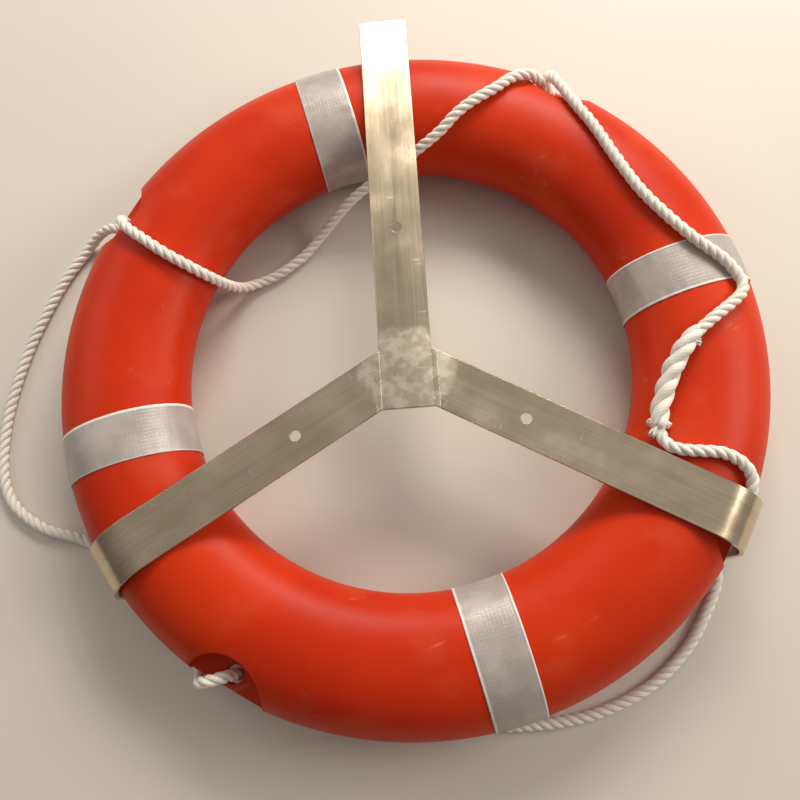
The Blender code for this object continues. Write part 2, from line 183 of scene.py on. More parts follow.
# Route of the grab line, from one side of the splice round to the other: angle about the ring in degrees,
# distance inside the rim as a share of the tube's width, height of the rope's centre as a share of the tube's
# height. ON_TUBE rests on the tube and ON_FLOOR lies on the floor.
ON_TUBE = -1.0
ON_FLOOR = 0.0
ROPE_ROUTE = (
    (-23.1, 0.82, ON_TUBE),
    (-24.6, 0.786, ON_TUBE),
    (-25.6, 0.729, ON_TUBE),
    (-25.5, 0.63, ON_TUBE),
    (-23.9, 0.414, ON_TUBE),
    (-23.8, 0.317, ON_TUBE),
    (-24.2, 0.227, 1.0),
    (-25.4, 0.144, 0.95),
    (-26.7, 0.117, 0.915),
    (-28.3, 0.098, 0.835),
    (-31.2, 0.125, 0.665),
    (-32.5, 0.119, 0.375),
    (-34.0, 0.08, 0.255),
    (-36.7, 0.017, 0.11),
    (-38.2, -0.076, 0.065),
    (-42.5, -0.14, ON_FLOOR),
    (-50.3, -0.215, ON_FLOOR),
    (-58.9, -0.22, ON_FLOOR),
    (-68.4, -0.148, ON_FLOOR),
    (-80.4, -0.008, ON_FLOOR),
    (-92.0, 0.091, ON_FLOOR),
    (-103.0, 0.11, ON_FLOOR),
    (-112.0, 0.095, ON_FLOOR),
    (-117.3, 0.098, 0.115),
    (-120.2, 0.121, 0.25),
    (-121.6, 0.131, 0.4),
    (-122.0, 0.131, 0.55),
    (-122.6, 0.105, 0.71),
    (-123.9, 0.048, 0.755),
    (-125.2, -0.011, 0.71),
    (-125.9, -0.036, 0.6),
    (-126.6, -0.043, 0.45),
    (-127.6, -0.03, 0.3),
    (-129.8, -0.004, 0.155),
    (-134.0, 0.061, 0.068),
    (-142.0, 0.083, ON_FLOOR),
    (-149.5, 0.008, ON_FLOOR),
    (-156.3, -0.15, ON_FLOOR),
    (-162.1, -0.492, ON_FLOOR),
    (-168.0, -0.682, ON_FLOOR),
    (-176.7, -0.67, ON_FLOOR),
    (171.8, -0.558, ON_FLOOR),
    (159.9, -0.445, ON_FLOOR),
    (152.8, -0.364, 0.07),
    (150.2, -0.295, 0.17),
    (148.8, -0.205, 0.26),
    (148.1, -0.091, 0.305),
    (147.9, 0.03, 0.31),
    (147.9, 0.117, 0.395),
    (148.5, 0.152, 0.74),
    (149.3, 0.189, 0.94),
    (149.9, 0.239, 1.005),
    (150.6, 0.303, 1.045),
    (151.6, 0.493, ON_TUBE),
    (152.4, 0.682, ON_TUBE),
    (152.5, 0.848, ON_TUBE),
    (151.9, 0.99, 0.77),
    (150.8, 1.048, 0.59),
    (149.2, 1.076, 0.39),
    (146.7, 1.114, 0.2),
    (142.8, 1.159, 0.085),
    (136.5, 1.242, ON_FLOOR),
    (126.5, 1.28, ON_FLOOR),
    (117.8, 1.242, 0.12),
    (104.4, 1.158, 0.4),
    (92.5, 1.072, 0.63),
    (83.6, 0.966, ON_TUBE),
    (77.6, 0.838, ON_TUBE),
    (74.9, 0.723, ON_TUBE),
    (72.1, 0.608, ON_TUBE),
    (67.7, 0.42, ON_TUBE),
    (65.7, 0.277, ON_TUBE),
    (63.6, 0.191, 0.99),
    (62.6, 0.164, 0.958),
    (61.4, 0.144, 0.875),
    (58.9, 0.135, 0.7),
    (58.1, 0.13, 0.4),
    (58.5, 0.105, 0.285),
    (59.4, 0.044, 0.245),
    (60.2, -0.017, 0.285),
    (60.6, -0.042, 0.38),
    (60.9, -0.045, 0.52),
    (60.8, -0.019, 0.67),
    (60.2, 0.038, 0.82),
    (58.6, 0.114, 0.945),
    (52.5, 0.292, ON_TUBE),
    (47.2, 0.389, ON_TUBE),
    (39.5, 0.502, ON_TUBE),
    (30.9, 0.552, ON_TUBE),
    (22.5, 0.504, ON_TUBE),
    (16.3, 0.409, ON_TUBE),
    (12.0, 0.284, ON_TUBE),
    (9.5, 0.227, ON_TUBE),
    (7.4, 0.198, ON_TUBE),
    (5.8, 0.22, ON_TUBE),
    (4.4, 0.286, ON_TUBE),
    (1.1, 0.495, ON_TUBE),
    (-0.2, 0.564, ON_TUBE),
)

# The splice rests on the tube: angle, distance inside the rim as a share of the tube's width, share of its
# full radius
SPLICE_ROUTE = (
    (-0.7, 0.596, 0.6),
    (-2.8, 0.683, 0.9),
    (-5.5, 0.744, 1.0),
    (-9.0, 0.8, 1.0),
    (-13.1, 0.836, 1.0),
    (-16.9, 0.854, 1.0),
    (-20.0, 0.854, 0.98),
    (-22.4, 0.835, 0.88),
)


def place_camera():
    """The photograph's view: just over the ring's near side, looking down and a little forward."""
    lens = bpy.data.cameras.new("view")
    lens.lens = LENS
    lens.sensor_width = SENSOR_WIDTH
    lens.clip_start = 0.01
    camera = bpy.data.objects.new("view", lens)
    camera.matrix_world = Matrix(CAMERA_PLACE)
    bpy.context.scene.collection.objects.link(camera)
    bpy.context.scene.camera = camera


def unit(vectors):
    """Each vector divided by its own length."""
    return vectors / np.linalg.norm(vectors, axis=-1, keepdims=True)


def tube_rest_height(angle, radius, rope_radius):
    """Height of a resting rope's centre: the tube's ellipse grown by the rope's radius, more over a tape."""
    off_tape = np.abs(angle[:, None] - np.array(TAPE_ANGLES)).min(axis=1)
    grow = rope_radius + ROPE_LIFT + np.where(off_tape < TAPE_REACH, TAPE_OUT, 0.0)
    across = (radius - TUBE_CENTRE) / (TUBE_WIDTH / 2 + grow)
    return MID_HEIGHT + (TUBE_HEIGHT / 2 + grow) * np.sqrt(np.clip(1 - across**2, 0, 1))


def on_ring(angle, radius, height):
    """Points at an angle about the ring's axis in degrees, a radius and a height."""
    turn = np.radians(angle)
    return np.stack([radius * np.cos(turn), RING_Y + radius * np.sin(turn), height], axis=-1)


def rope_stops():
    """The route's own points as places in the frame."""
    angle, inset, height = np.array(ROPE_ROUTE).T
    radius = RING_RADIUS - inset * TUBE_WIDTH
    resting = tube_rest_height(angle, radius, ROPE_RADIUS)
    floor = np.full_like(angle, ROPE_RADIUS)
    height = np.select([height == ON_TUBE, height == ON_FLOOR], [resting, floor], height * TUBE_HEIGHT)
    return on_ring(angle, radius, height)


def splice_stops():
    """The splice's points as places in the frame, and its share of its full radius at each."""
    angle, inset, thickness = np.array(SPLICE_ROUTE).T
    radius = RING_RADIUS - inset * TUBE_WIDTH
    return on_ring(angle, radius, tube_rest_height(angle, radius, thickness * SPLICE_RADIUS)), thickness


def smooth_path(stops, step, floor=0.0):
    """Evenly spaced points on the smooth curve through the stops, and how far along it each of them is.

    Each stop's direction is that from the stop before to the stop after it. Between two stops the curve is
    the cubic that leaves and arrives in those directions, with slopes as long as the straight distance.
    """
    ways = unit(np.vstack([stops[1:2] - stops[:1], stops[2:] - stops[:-2], stops[-1:] - stops[-2:-1]]))
    start, end = stops[:-1, None], stops[1:, None]
    span = np.linalg.norm(end - start, axis=-1, keepdims=True)
    t = np.linspace(0, 1, 40, endpoint=False)[None, :, None]
    curve = (
        (2 * t**3 - 3 * t**2 + 1) * start
        + (t**3 - 2 * t**2 + t) * span * ways[:-1, None]
        + (3 * t**2 - 2 * t**3) * end
        + (t**3 - t**2) * span * ways[1:, None]
    )
    curve = np.vstack([curve.reshape(-1, 3), stops[-1:]])
    curve[:, 2] = np.maximum(curve[:, 2], floor)
    along = np.concatenate([[0.0], np.cumsum(np.linalg.norm(np.diff(curve, axis=0), axis=1))])
    places = np.linspace(0, along[-1], int(round(along[-1] / step)) + 1)
    return np.stack([np.interp(places, along, curve[:, i]) for i in range(3)], axis=-1), places


def path_frames(path):
    """Two side directions at each point of the path, carried along it without twist."""
    ways = unit(np.gradient(path, axis=0))
    side = np.cross(ways[0], [0.3, 0.2, 0.9])
    sides = []
    for way in ways:
        side = side - way * np.dot(side, way)
        side = side / np.linalg.norm(side)
        sides.append(side)
    sides = np.array(sides)
    return sides, np.cross(ways, sides)


def grid_object(name, sheets, closed_rows=False, capped=False, span=1.0, turns=1.0):
    """A mesh of one or more grids of points, each (rows, columns, 3), whose columns close on themselves.

    Quads join neighbouring points. The rows close too where closed_rows is set, and otherwise capped shuts
    both ends with a flat face. The map's first direction runs along the rows, from 0 to the span, and its
    second goes round the columns, from 0 to the turns. A grid that would enclose a negative volume is turned
    over.
    """
    points, quads, caps, maps = [], [], [], []
    first = 0
    for sheet in sheets:
        rows, columns = sheet.shape[:2]
        index = first + np.arange(rows * columns).reshape(rows, columns)
        below = index if closed_rows else index[:-1]
        above = np.roll(index, -1, axis=0) if closed_rows else index[1:]
        quad = np.stack([below, above, np.roll(above, -1, axis=1), np.roll(below, -1, axis=1)], axis=-1)
        row = np.arange(below.shape[0])[:, None] / below.shape[0] + np.zeros((1, columns))
        column = np.arange(columns)[None, :] / columns + np.zeros((below.shape[0], 1))
        one_row, one_column = 1 / below.shape[0], 1 / columns
        corner_u = span * np.stack([row, row + one_row, row + one_row, row], axis=-1)
        corner_v = turns * np.stack([column, column, column + one_column, column + one_column], axis=-1)
        flat = sheet.reshape(-1, 3)
        a, b, c, d = (flat[quad.reshape(-1, 4)[:, k] - first] for k in range(4))
        middle = flat.mean(axis=0)
        volume = np.einsum("ij,ij->", np.cross(c - a, d - b), (a + b + c + d) / 4 - middle)
        if volume < 0:
            quad, corner_u, corner_v = quad[..., ::-1], corner_u[..., ::-1], corner_v[..., ::-1]
        points.append(flat)
        quads.append(quad.reshape(-1, 4))
        maps.append(np.stack([corner_u.reshape(-1), corner_v.reshape(-1)], axis=-1))
        if capped:
            ends = (index[0], index[-1][::-1])
            caps += [end[::-1].tolist() if volume < 0 else end.tolist() for end in ends]
        first += rows * columns
    mesh = bpy.data.meshes.new(name)
    mesh.from_pydata(np.vstack(points).tolist(), [], np.vstack(quads).tolist() + caps)
    layer = mesh.uv_layers.new(name="surface")
    values = np.zeros((len(mesh.loops), 2))
    grid_values = np.vstack(maps)
    values[: len(grid_values)] = grid_values
    layer.data.foreach_set("uv", values.reshape(-1).astype(np.float32))
    mesh.shade_smooth()
    obj = bpy.data.objects.new(name, mesh)
    bpy.context.scene.collection.objects.link(obj)
    return obj


def strand_sheets(path, places, radius, turn_length, strand_share, phase=0.0):
    """Three strands wound on each other: circles about centres that go round the path as it runs on.

    A centre goes round once in each turn length, right-handed, and stands radius minus the strand's own
    radius from the path. The strand's share of the radius is a little more than three round strands would
    leave, so that they press together.
    """
    side, other = path_frames(path)
    strand = radius * strand_share
    reach = radius - strand
    around = np.linspace(0, FULL_TURN, STRAND_SIDES, endpoint=False)
    sheets = []
    for i in range(3):
        turn = FULL_TURN * (places / turn_length + i / 3) + phase
        centre = path + reach[:, None] * (np.cos(turn)[:, None] * side + np.sin(turn)[:, None] * other)
        way = unit(np.gradient(centre, axis=0))
        out = unit(centre - path)
        out = unit(out - way * np.sum(out * way, axis=1, keepdims=True))
        across = np.cross(way, out)
        ring = np.cos(around)[None, :, None] * out[:, None] + np.sin(around)[None, :, None] * across[:, None]
        sheets.append(centre[:, None] + strand[:, None, None] * ring)
    return sheets


def end_taper(places, length, least):
    """One along the path, easing to a smaller share over a length at each end, like a quarter circle."""
    near = np.minimum(np.minimum(places, places[-1] - places) / length, 1)
    return least + (1 - least) * np.sqrt(near * (2 - near))


def make_rope():
    """The laid rope and its fat splice, with the strand ends that stand out of the splice as frayed tufts.

    The splice's radius follows its route's shares, times one plus a sine of the distance along it, which is
    strongest in the middle.
    """
    stops, thickness = splice_stops()
    rope_way = np.vstack([stops[-2:-1], rope_stops(), stops[1:2]])
    full_radius = ROPE_RADIUS * ROPE_SWELL
    path, places = smooth_path(rope_way, ROPE_STEP, full_radius)
    radius = full_radius * end_taper(places, length=0.003, least=0.6)
    strands = strand_sheets(path, places, radius, ROPE_TURN, ROPE_STRAND_SHARE)
    rope = grid_object("grab_line_rope", strands, capped=True, span=places[-1])

    fat_path, fat_places = smooth_path(stops, SPLICE_STEP)
    spread = np.interp(fat_places, np.linspace(0, fat_places[-1], len(thickness)), thickness)
    swing = np.sin(FULL_TURN * fat_places / SPLICE_LUMP_LENGTH) * np.sin(np.pi * fat_places / fat_places[-1])
    lumps = 1 + SPLICE_LUMPS * swing
    fat = SPLICE_RADIUS * spread * lumps * end_taper(fat_places, length=0.005, least=0.5)
    strands = strand_sheets(fat_path, fat_places, fat, SPLICE_TURN, SPLICE_STRAND_SHARE, SPLICE_FIRST_TURN)
    splice = grid_object("grab_line_splice_strands", strands, capped=True, span=fat_places[-1])

    tufts = []
    for share, way, tuft_length in FRAYED_ENDS:
        at = int(share * (len(fat_path) - 1))
        way = unit(np.array(way))
        tufts += tuft_sheets(fat_path[at] + 0.5 * fat[at] * way, way, tuft_length)
    longest = max(tuft_length for *_, tuft_length in FRAYED_ENDS)
    fray = grid_object("grab_line_fray", tufts, capped=True, span=longest, turns=0.1)
    for piece, node in ((rope, "grab_line"), (splice, "grab_line_splice")):
        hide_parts(node)
    for piece in (rope, splice, fray):
        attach(piece, "ring")
    return rope, splice, fray


def tuft_sheets(root, way, longest):
    """A strand's frayed end: thin tapering yarns that leave one root, spread in a cone and droop a little.

    A yarn starts at a random place in a disc about the root and runs along the way. Its distance from the
    middle and its droop both grow with the square of how far along it is.
    """
    side = unit(np.cross(way, [0.1, 0.2, 1.0]))
    other = np.cross(way, side)
    along = np.linspace(0, 1, YARN_ROWS)
    around = np.linspace(0, FULL_TURN, YARN_SIDES, endpoint=False)
    sheets = []
    for _ in range(YARNS_IN_A_TUFT):
        angle, spread = random.uniform(0, FULL_TURN), np.sqrt(random.uniform(0, 1))
        out = spread * (np.cos(angle) * side + np.sin(angle) * other)
        length = longest * random.uniform(0.65, 1.0)
        start = root + TUFT_RADIUS * out
        centre = start + np.outer(along * length, way) + np.outer(TUFT_SPREAD * along**2, out)
        centre[:, 2] -= TUFT_DROOP * along**2
        thin = (YARN_RADIUS * (1 - 0.45 * along))[:, None, None]
        ring = np.cos(around)[:, None] * side + np.sin(around)[:, None] * other
        sheets.append(centre[:, None] + thin * ring[None])
    return sheets


def make_shell():
    """The moulded ring as a loft of fine cross-sections, with the lugs' holes and the port cut out.

    Each cross-section is the tube's ellipse, cut off at the radius where a lug's pocket begins. From the cut
    a wall drops to the web, the web runs out to its edge, and the same again below. Between the lugs the cut
    lies at the rim, where wall and web have no length, and the web's edge follows the ellipse.
    """
    lugs = np.array(LUG_ANGLES)
    fine = (lugs[:, None] + np.linspace(-LUG_REACH, LUG_REACH, LUG_STEPS)).ravel()
    angle = np.unique(np.round(np.concatenate([np.arange(0, 360, 1.0), fine]), 3))
    off = np.radians(angle - lugs[np.abs(angle[:, None] - lugs).argmin(axis=1)])
    wide, high, web = TUBE_WIDTH / 2, TUBE_HEIGHT / 2, WEB_THICKNESS / 2
    rim_at_web = TUBE_CENTRE + wide * np.sqrt(1 - (web / high) ** 2)
    chord = POCKET_RADIUS**2 - (POCKET_CENTRE * np.sin(off)) ** 2
    pocket = POCKET_CENTRE * np.cos(off) - np.sqrt(np.maximum(chord, 0))
    cut = np.where(chord > 0, np.minimum(pocket, rim_at_web), rim_at_web)[:, None]
    near_lug = (np.abs(RING_RADIUS * np.sin(off)) < WEB_EDGE_WIDTH / 2)[:, None]
    in_pocket = (cut < rim_at_web - 1e-6) & near_lug
    edge = np.where(in_pocket, (RING_RADIUS - WEB_INSET) / np.cos(off)[:, None], RING_RADIUS)

    start = np.arccos((cut - TUBE_CENTRE) / wide)
    sweep = start + (FULL_TURN - 2 * start) * np.linspace(0, 1, TUBE_POINTS)[None, :]
    tube_radius, tube_height = TUBE_CENTRE + wide * np.cos(sweep), high * np.sin(sweep)
    down = np.linspace(0, 1, FLAT_STEPS)[None, 1:-1]
    wall = -high * np.sin(start) * (1 - down) - web * down
    wall_radius = cut + 0 * wall
    web_height = np.linspace(-web, web, WEB_STEPS)[None, :]
    web_outer = np.minimum(TUBE_CENTRE + wide * np.sqrt(1 - (web_height / high) ** 2), edge)
    web_radius = cut + (web_outer[:, :1] - cut) * np.linspace(0, 1, FLAT_STEPS)[None, :-1]
    flat = np.zeros_like(web_radius)
    radius = np.hstack([tube_radius, wall_radius, web_radius, web_outer, web_radius[:, ::-1], wall_radius])
    height = np.hstack([tube_height, wall, flat - web, web_height + 0 * cut, flat + web, -wall[:, ::-1]])
    points = on_ring(angle[:, None], radius, MID_HEIGHT + height)
    shell = grid_object("moulded_ring", [points], closed_rows=True)
    work = bmesh.new()
    work.from_mesh(shell.data)
    bmesh.ops.remove_doubles(work, verts=work.verts, dist=1e-6)
    work.to_mesh(shell.data)
    work.free()

    through = 0.012
    holes = [round_column(on_ring(lug, RING_RADIUS - LUG_HOLE_INSET, MID_HEIGHT), LUG_HOLE_RADIUS,
                          MID_HEIGHT - through, MID_HEIGHT + through) for lug in LUG_ANGLES]
    port = on_ring(PORT_ANGLE, TUBE_CENTRE, 0.0)
    holes.append(round_column(port, PORT_RADIUS, -through, TAPE_OUT + PORT_DEPTH))
    cut_holes(shell, holes, crease=32)
    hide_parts("ring_shell")
    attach(shell, "ring")
    return shell


def round_column(centre, radius, low, high):
    """An upright round column as two rings of points."""
    around = np.linspace(0, FULL_TURN, HOLE_SIDES, endpoint=False)
    ring = np.stack([centre[0] + radius * np.cos(around), centre[1] + radius * np.sin(around)], axis=-1)
    return np.stack([np.column_stack([ring, np.full(HOLE_SIDES, height)]) for height in (low, high)])


def cut_holes(piece, columns, crease):
    """The columns cut out of the piece's mesh, and its faces smooth but for edges sharper than the crease."""
    cutter = grid_object("hole_cutter", columns, capped=True)
    cut_out = piece.modifiers.new("holes", "BOOLEAN")
    cut_out.solver = "EXACT"
    cut_out.object = cutter
    bpy.context.view_layer.update()
    mesh = bpy.data.meshes.new_from_object(piece.evaluated_get(bpy.context.evaluated_depsgraph_get()))
    piece.modifiers.clear()
    piece.data = mesh
    bpy.data.objects.remove(cutter)
    mesh.shade_smooth()
    mesh.set_sharp_from_angle(angle=np.radians(crease))


def hub_point(along, across, height, turn):
    """A place on the bracket: distance from the hub along a bar, distance to its left, and height."""
    cosine, sine = np.cos(np.radians(turn)), np.sin(np.radians(turn))
    return np.stack([along * cosine - across * sine, HUB_Y + along * sine + across * cosine, height], axis=-1)


def make_arms():
    """Each arm as a flat bar's outline, with eased edges, carried along the flat, round the bend and down.

    A point of the outline has a distance across the bar and a depth below its outer face. On the flat the
    depth is straight down. In the bend it lies on a circle whose radius is the bend's less the depth. The arm
    starts at the upright plane of its weld, so its first row slants across the bar.
    """
    half, edge = BAR_WIDTH / 2, BAR_EDGE
    face = np.linspace(-half + edge, half - edge, BAR_STEPS)
    sides = np.array([half, half])
    across = np.concatenate([face, sides, face[::-1], -sides])[None, :]
    side_depth = np.array([edge, BAR_THICKNESS - edge])
    depth = np.concatenate([0 * face, side_depth, 0 * face + BAR_THICKNESS, side_depth[::-1]])[None, :]
    lean = np.radians(-ARM_TURN["right"])
    leg_outer = RING_RADIUS + FIT_GAP - HUB_BELOW_CENTRE * np.sin(lean) + BAR_THICKNESS
    reach = half + WELD_WIDTH + 2 * FIT_GAP
    flat_share = np.linspace(0, 1, FLAT_ROWS, endpoint=False)[:, None]
    bend_turn = np.linspace(np.pi / 2, 0, BEND_ROWS)[:, None]
    leg_share = np.linspace(0, 1, LEG_ROWS)[1:, None]
    through = 0.01
    arms = []
    for side, turn in ARM_TURN.items():
        sign = 1 if side == "right" else -1
        bend = BEND_RADIUS[side]
        bend_start, bend_height = leg_outer - bend, BAR_TOP - bend
        start = (reach + sign * across * np.sin(np.radians(turn))) / np.cos(lean)
        along = np.vstack([
            start + (bend_start - start) * flat_share,
            bend_start + (bend - depth) * np.cos(bend_turn),
            leg_outer - depth + 0 * leg_share,
        ])
        height = np.vstack([
            BAR_TOP - depth + 0 * flat_share,
            bend_height + (bend - depth) * np.sin(bend_turn),
            bend_height + (LEG_BOTTOM - bend_height) * leg_share + 0 * depth,
        ])
        points = hub_point(along, across + 0 * along, height, turn)
        arm = grid_object(f"bent_arm_{side}", [points], capped=True)
        centre = hub_point(ARM_HOLE_FROM_HUB, 0.0, BAR_TOP, turn)
        hole = round_column(centre, SCREW_HOLE_RADIUS, BAR_TOP - through, BAR_TOP + through)
        cut_holes(arm, [hole], crease=30)
        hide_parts(f"bracket_arm_{side}")
        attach(arm, "bracket")
        arms.append(arm)
    return arms


def make_welds():
    """Each weld as a strip between upright and arm, its faces crowned across the seam and wavy along it.

    Across the strip the face rises as one minus the square of the distance from its middle, and it laps over
    the gap at each side, so that the ground seam looks closed. Its two edges sway by a sum of two sines.
    """
    wide = WELD_WIDTH / 2 + WELD_LAP
    share = np.linspace(-1, 1, WELD_STEPS)
    upper = np.ones(WELD_STEPS)
    across = np.concatenate([share, share[::-1]])[None, :]
    lift = (WELD_RISE + WELD_CROWN * (1 - across**2)) * np.concatenate([upper, -upper])[None, :]
    base = BAR_TOP - np.concatenate([0 * upper, BAR_THICKNESS * upper])[None, :]
    along = np.linspace(-1, 1, WELD_ROWS)[:, None]
    lean = np.radians(-ARM_TURN["right"])
    length = BAR_WIDTH / 2 / np.cos(lean) - WELD_SHORT
    middle = BAR_WIDTH / 2 + FIT_GAP + WELD_WIDTH / 2
    welds = []
    for side, sign in (("right", 1), ("left", -1)):
        wave = sum(depth * np.sin(along * waves + shift * sign) for depth, waves, shift in WELD_WAVES)
        x = sign * (middle + across * wide + wave * np.abs(across))
        y = HUB_Y - np.tan(lean) * np.abs(x) + along * length
        points = np.stack([x, y, base + lift + 0 * along], axis=-1)
        weld = grid_object(f"ground_weld_{side}", [points], capped=True)
        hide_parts(f"weld_{side}")
        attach(weld, "bracket")
        welds.append(weld)
    return welds


def make_tapes():
    """Each tape as a thin closed sleeve on the tube, a straight band whose outer face ripples a little.

    A point of the band stands at a distance outside the tube's ellipse, along its normal, and at a fixed
    distance to the side of the tape's middle line. The ripples are sums of sines, deeper at the hole's side
    of the tube, where a flat band has length to spare, and a thin sealed line sinks in near each edge.
    """
    around = np.linspace(0, FULL_TURN, TAPE_POINTS, endpoint=False)[:, None]
    half = TAPE_WIDTH / 2
    outer = np.linspace(-half, half, TAPE_STEPS)
    across = np.concatenate([outer, outer[::-1]])[None, :]
    on_top = (np.arange(across.shape[1]) < len(outer))[None, :]
    slack = 0.5 - 0.5 * np.cos(around)
    edge = np.clip((np.abs(across) - 0.55 * half) / (0.45 * half), 0, 1)
    sealed = TAPE_SEAL_DEPTH * np.exp(-(((np.abs(across) - (half - TAPE_SEAL_INSET)) / TAPE_SEAL_WIDTH) ** 2))
    wide, high = TUBE_WIDTH / 2, TUBE_HEIGHT / 2
    normal_x, normal_z = np.cos(around) / wide, np.sin(around) / high
    size = np.hypot(normal_x, normal_z)
    tapes = []
    for number, angle in enumerate(TAPE_ANGLES, 1):
        ripple = np.zeros_like(around * across)
        for _ in range(TAPE_RIPPLES):
            waves, lean = random.uniform(9, 34), random.uniform(-120, 120)
            strength, shift = random.normal(0, 1), random.uniform(0, 6.3)
            ripple += strength * np.sin(np.round(waves) * around + lean * across + shift)
        lift = TAPE_OUT + TAPE_RIPPLE_DEPTH * ripple * (0.25 + 0.75 * slack) * (0.5 + edge)
        lift = np.clip(lift, TAPE_LEAST, TAPE_MOST)
        out = np.where(on_top, lift - sealed, TAPE_GAP * 0.6)
        radius = TUBE_CENTRE + wide * np.cos(around) + out * normal_x / size
        height = MID_HEIGHT + high * np.sin(around) + out * normal_z / size
        forward = np.sqrt(radius**2 - across**2)
        turn = np.radians(angle)
        x = forward * np.cos(turn) - across * np.sin(turn)
        y = RING_Y + forward * np.sin(turn) + across * np.cos(turn)
        tape = grid_object(f"tape_band_{number}", [np.stack([x, y, height], axis=-1)], closed_rows=True)
        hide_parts(f"reflective_tape_{number}")
        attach(tape, "ring")
        tapes.append(tape)
    return tapes


class Number:
    """A number on a shader socket, with arithmetic that adds the Math nodes."""

    def __init__(self, tree, socket):
        self.tree = tree
        self.socket = socket

    def maths(self, operation, *others):
        """The result of a Math node on this number and the others."""
        node = self.tree.nodes.new("ShaderNodeMath")
        node.operation = operation
        for entry, value in zip(node.inputs, (self, *others)):
            connect(self.tree, entry, value)
        return Number(self.tree, node.outputs[0])

    def __add__(self, other):
        return self.maths("ADD", other)

    def __mul__(self, other):
        return self.maths("MULTIPLY", other)

    def __sub__(self, other):
        return self.maths("SUBTRACT", other)

    def __rsub__(self, other):
        return self * -1.0 + other

    def __lt__(self, other):
        return self.maths("LESS_THAN", other)

    def __gt__(self, other):
        return self.maths("GREATER_THAN", other)

    __radd__ = __add__
    __rmul__ = __mul__

    def size(self):
        return self.maths("ABSOLUTE")

    def sine(self):
        return self.maths("SINE")

    def root(self):
        return self.maths("SQRT")

    def least(self, other):
        """The smaller of this and the other."""
        return self.maths("MINIMUM", other)

    def most(self, other):
        """The larger of this and the other."""
        return self.maths("MAXIMUM", other)


def connect(tree, entry, value):
    """Links a socket or a Number to a node's input, or sets a plain value there."""
    if isinstance(value, Number):
        value = value.socket
    if isinstance(value, bpy.types.NodeSocket):
        tree.links.new(value, entry)
    else:
        entry.default_value = value


class Finish:
    """One material: its node tree, its shader, and the ways its patterns are made."""

    def __init__(self, name, **constants):
        self.material = bpy.data.materials.new(name)
        self.material.use_nodes = True
        self.tree = self.material.node_tree
        self.shader = self.tree.nodes["Principled BSDF"]
        for socket, value in constants.items():
            self.shader.inputs[socket.replace("_", " ")].default_value = value
        self.place = self.node("ShaderNodeTexCoord").outputs["Object"]

    def node(self, kind, settings=None, sockets=None):
        """A node of a type, with its settings made first and then its sockets' values or links."""
        node = self.tree.nodes.new(kind)
        for name, value in (settings or {}).items():
            setattr(node, name, value)
        for name, value in (sockets or {}).items():
            connect(self.tree, node.inputs[name], value)
        return node

    def noise(self, scale, detail=2.0, place=None):
        """Cloudy noise, from 0 to 1."""
        sockets = {"Vector": place or self.place, "Scale": scale, "Detail": detail}
        return Number(self.tree, self.node("ShaderNodeTexNoise", None, sockets).outputs["Fac"])

    def cells(self, scale, place=None, feature="F1", randomness=1.0):
        """Distance to the nearest cell's middle, or to its edge."""
        settings = {"feature": feature}
        sockets = {"Vector": place or self.place, "Scale": scale, "Randomness": randomness}
        return Number(self.tree, self.node("ShaderNodeTexVoronoi", settings, sockets).outputs["Distance"])

    def ease(self, value, low, high):
        """The value carried smoothly from 0 at low to 1 at high, and held at its ends."""
        sockets = {"Value": value, "From Min": low, "From Max": high}
        node = self.node("ShaderNodeMapRange", {"interpolation_type": "SMOOTHSTEP"}, sockets)
        return Number(self.tree, node.outputs[0])

    def axes(self, vector=None):
        """The three numbers of a vector, by default of the object's own coordinates."""
        node = self.node("ShaderNodeSeparateXYZ", None, {"Vector": vector or self.place})
        return [Number(self.tree, output) for output in node.outputs]

    def vector(self, x, y, z):
        """One vector from three numbers."""
        return self.node("ShaderNodeCombineXYZ", None, {"X": x, "Y": y, "Z": z}).outputs[0]

    def surface_map(self):
        """The piece's own map: along its rows, round its columns, and nothing."""
        return self.axes(self.node("ShaderNodeUVMap", {"uv_map": "surface"}).outputs[0])

    def blend(self, factor, first, second):
        """First colour where the factor is 0, second where it is 1. Sockets 6 and 7 hold the colours."""
        node = self.node("ShaderNodeMix", {"data_type": "RGBA"})
        for index, value in ((0, factor), (6, first), (7, second)):
            connect(self.tree, node.inputs[index], (*value, 1.0) if isinstance(value, tuple) else value)
        return node.outputs[2]

    def bump(self, height, normal=None):
        """Normals bent by a height in metres, on top of others where they are given."""
        sockets = {"Height": height, "Distance": 1.0, "Strength": 1.0}
        if normal:
            sockets["Normal"] = normal
        return self.node("ShaderNodeBump", None, sockets).outputs[0]

    def soft_edges(self, radius):
        """Normals turned at sharp edges as if they were rounded to the radius."""
        return self.node("ShaderNodeBevel", {"samples": 4}, {"Radius": radius}).outputs[0]

    def feed(self, **values):
        """Links or values for the shader's sockets, by name."""
        for socket, value in values.items():
            connect(self.tree, self.shader.inputs[socket.replace("_", " ")], value)


